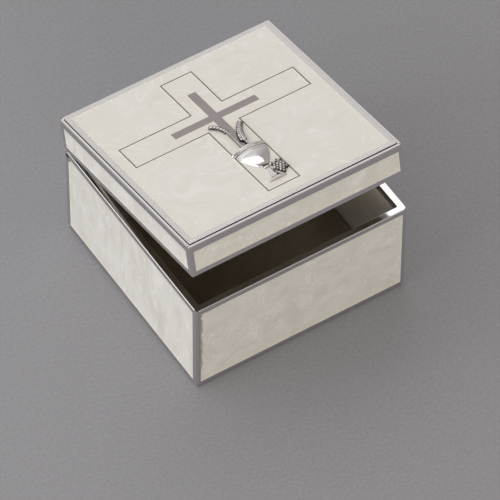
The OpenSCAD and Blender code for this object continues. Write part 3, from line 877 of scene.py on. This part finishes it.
# The grooves of the chalice get the dark wire material: painted shade in its creases.
grooves = np.array([(0.62, 0.95), (7.0, 7.25), (8.2, 8.65), (18.38, 18.66), (19.3, 19.66)])
centre = (along[:-1, None] + along[1:, None]) / 2
dark = ((centre > grooves[:, 0]) & (centre < grooves[:, 1])).any(1)
cup.data.materials.append(dark_wire_and_painted_shade)
groove_shade = np.pad(np.repeat(dark, m - 1).astype(np.int32), (0, len(faces) - len(skin)))
cup.data.polygons.foreach_set("material_index", groove_shade)
crease(cup, 50)

# %% [markdown]
# ## Wheat and grapes
# Two ears of wheat stand in the cup and a bunch of grapes lies beside the stem. A grain is a
# egg, thicker near its root. Each ear has two outer rows of grains that lean outwards and a middle
# row on top, along an arc. A grape is the same egg made round, and the grapes lie in staggered rows
# under leaves with five lobes.

# %% Shapes for wheat and grapes


def egg(at, heading, length, width, rows=9, sides=12):
    """A grain: an ellipsoid whose widest part is moved towards its root, lying along heading."""
    t = np.linspace(0, math.pi, rows)
    a = np.linspace(0, 2 * math.pi, sides, endpoint=False)
    along = -np.cos(t)[:, None] * length / 2
    wide = (np.sin(t) * (1 - 0.3 * -np.cos(t)))[:, None] * width / 2
    u = np.broadcast_to(along, (rows, sides))
    v, w = wide * np.cos(a), wide * np.sin(a)
    c, s = math.cos(heading), math.sin(heading)
    points = np.stack([at[0] + u * c - v * s, at[1] + u * s + v * c, at[2] + w], -1).reshape(-1, 3)
    return points, ring_faces(rows, sides)


def tube(path, radii, sides=10):
    """A round stalk along a path in the plane of the plaque."""
    step = np.gradient(path, axis=0)
    step /= np.linalg.norm(step, axis=1)[:, None]
    across = np.stack([-step[:, 1], step[:, 0], np.zeros(len(path))], -1)
    upward = np.cross(step, across)
    a = np.linspace(0, 2 * math.pi, sides, endpoint=False)
    ring_points = (path[:, None] + radii[:, None, None] * (across[:, None] * np.cos(a)[:, None]
                   + upward[:, None] * np.sin(a)[:, None]))
    return ring_points.reshape(-1, 3), ring_faces(len(path), sides)


def leaf(centre, size, turn):
    """A vine leaf as a low dome: its radius has five lobes and its height falls to the edge."""
    a = np.linspace(0, 2 * math.pi, 60, endpoint=False)
    lobes = size * (0.72 + 0.2 * np.cos(5 * a) + 0.06 * np.cos(15 * a))
    t = np.array([0.02, 0.25, 0.5, 0.75, 0.92, 1.0, 1.0])
    low = np.array([0, 0, 0, 0, 0, 0, 1.0])
    r = lobes * t[:, None]
    vein = 0.12 * np.abs(np.cos(2.5 * a)) * t[:, None]
    z = 0.6 * (1 - t[:, None] ** 2) + vein + 0.25
    z = np.where(low[:, None] > 0, -0.02, z)
    points = np.stack([centre[0] + r * np.cos(a + turn), centre[1] + r * np.sin(a + turn), PLAQUE_Z + z], -1)
    ring = np.arange(r.size).reshape(r.shape)
    after = np.roll(ring, -1, 1)
    quads = np.stack([ring[:-1], ring[1:], after[1:], after[:-1]], -1).reshape(-1, 4)
    return points.reshape(-1, 3), quads


def join(parts):
    """Joins lists of points and faces into one."""
    points, faces, start = [], [], 0
    for p, f in parts:
        points.append(p)
        faces += [tuple(q + start) for q in f]
        start += len(p)
    return np.concatenate(points), faces


# %% Wheat
GRAIN_PITCH = 1.2
# Lean in radians and reach of a row of grains, then the height, length and width of its grains
GRAIN_ROWS = ((-0.6, 0.9, 0.4, 1.7, 0.9), (0.6, 0.9, 0.4, 1.7, 0.9), (0, 0.5, 0.72, 1.5, 0.7))
EARS = {"left": {"side": -1, "x": 1.5, "stalk": 11, "bend": 8.3, "angle": 53, "spread": 1.0},
        "right": {"side": 1, "x": 1.3, "stalk": 3.5, "bend": 14.7, "angle": 43, "spread": 1.6}}


def wheat(side, x, stalk, bend, angle, spread):
    """Stalk, then grains along an arc that turns outwards, with a grain at the tip. spread is how far
    the outer rows stand off at the root."""
    base, top = FOOT_Y + CUP_H - 0.3, FOOT_Y + CUP_H + stalk

    def bent(t):
        return np.array([side * (x + bend * (1 - math.cos(t))), top + bend * math.sin(t)])

    turn = math.radians(angle)
    path = [[side * x, v, 0.5] for v in np.linspace(base, top, 8, endpoint=False)]
    path += [[*bent(t), 0.5] for t in np.linspace(0, turn, 24)]
    path = np.array(path) + [0, 0, PLAQUE_Z]
    parts = [tube(path, np.linspace(0.48, 0.3, len(path)))]
    count = round(bend * turn / GRAIN_PITCH)
    for t in (np.arange(count) + 0.3) / count * turn:
        heading = math.pi / 2 - side * t
        wide = 1 + (spread - 1) * (1 - t / turn)
        for lean, out, height, length, width in GRAIN_ROWS:
            a = heading + lean
            spot = bent(t) + out * wide * np.array([math.cos(a), math.sin(a)])
            parts.append(egg([*spot, PLAQUE_Z + height], a, length * wide ** 0.5, width * wide ** 0.5))
    parts.append(egg([*bent(turn), PLAQUE_Z + 0.4], math.pi / 2 - side * turn, 1.4, 0.9))
    return join(parts)


for side, facts in EARS.items():
    points, faces = wheat(**facts)
    make_piece(side + "_ear", on_lid(points), faces, antiqued_nickel, "lid", side + "_wheat_ear",
               points[:, 2] - PLAQUE_Z)

# %% Grapes and leaves
GRAPE, GRAPE_X, GRAPE_Y = 0.72, 3.7, 6.2
pitch = 1.76 * GRAPE
parts = []
for row, count in enumerate((3, 4, 3, 2, 1)):
    for i in range(count):
        x = GRAPE_X + (i - (count - 1) / 2) * pitch
        spot = [x, FOOT_Y + GRAPE_Y - row * pitch * math.sin(math.pi / 3)]
        parts.append(egg([*spot, PLAQUE_Z + 0.25 + 0.15 * ((i + row) % 2)], 0.0, 2 * GRAPE, 2 * GRAPE))
for dx, dy, size, turned in ((1.0, 1.3, 1.8, 0.4), (-0.9, 1.1, 1.4, 1.9), (1.9, -2.6, 1.2, 0.9)):
    parts.append(leaf([GRAPE_X + dx, FOOT_Y + GRAPE_Y + dy], size, turned))
points, faces = join(parts)
make_piece("bunch_of_grapes", on_lid(points), faces, antiqued_nickel, "lid", "grape_cluster",
           points[:, 2] - PLAQUE_Z)

# %% [markdown]
# ## The two pads
# Velvet glued over thin card lies on the floor of the box, and felt is glued underneath. Both are
# flat where they rest and rounded at the edge, and the velvet has a slight crown.

# %% Pads


def pad_mesh(half, corner, low, high, crown, soft_edge):
    """Two faces of a square pad: the upper one is crowned and both curve in at the edge."""
    base = resample(round_square(half, corner, 8), 2.0)
    rounded = [(soft_edge * (1 - math.sin(t)), high - soft_edge * (1 - math.cos(t)))
               for t in np.linspace(0, math.pi / 2, 6)]
    steps = [(0.2 * soft_edge, low)] + rounded[::-1]
    rings = [np.column_stack([base * (1 - inset / half), np.full(len(base), z)]) for inset, z in steps]
    for share in (0.93, 0.8, 0.6, 0.35, 0.1):
        reach = share * (1 - soft_edge / half)
        rings.append(np.column_stack([base * reach, np.full(len(base), high + crown * (1 - share ** 4))]))
    rings = np.stack(rings)
    n, m = rings.shape[:2]
    ends = [tuple(range(m))[::-1], tuple(range(n * m - m, n * m))]
    return rings.reshape(-1, 3), [*map(tuple, ring_faces(n, m)), *ends]


points, faces = pad_mesh(half=40.8, corner=0.6, low=2.5, high=3.6, crown=0.1, soft_edge=0.6)
velvet_pad = make_piece("velvet_pad", points, faces, velvet, "body", "floor_pad")
points, faces = pad_mesh(half=40.5, corner=0.6, low=-0.9, high=0.0, crown=0.0, soft_edge=0.25)
points[:, 2] *= -1
felt_pad = make_piece("felt_pad", points, [f[::-1] for f in faces], felt, "body", "base_pad")

# %% [markdown]
# ## The hinge
# The three barrels and the pin are plain turned and drawn metal, and their CAD shapes are right.
# They only get their finishes.

# %% Hinge finishes
for node_name, metal in (("body_hinge_barrel", polished_nickel), ("lid_hinge_barrels", polished_nickel),
                         ("hinge_pin", hinge_steel)):
    data = frame["nodes"][node_name].data
    data.materials.clear()
    data.materials.append(metal)
print("hinge finished")
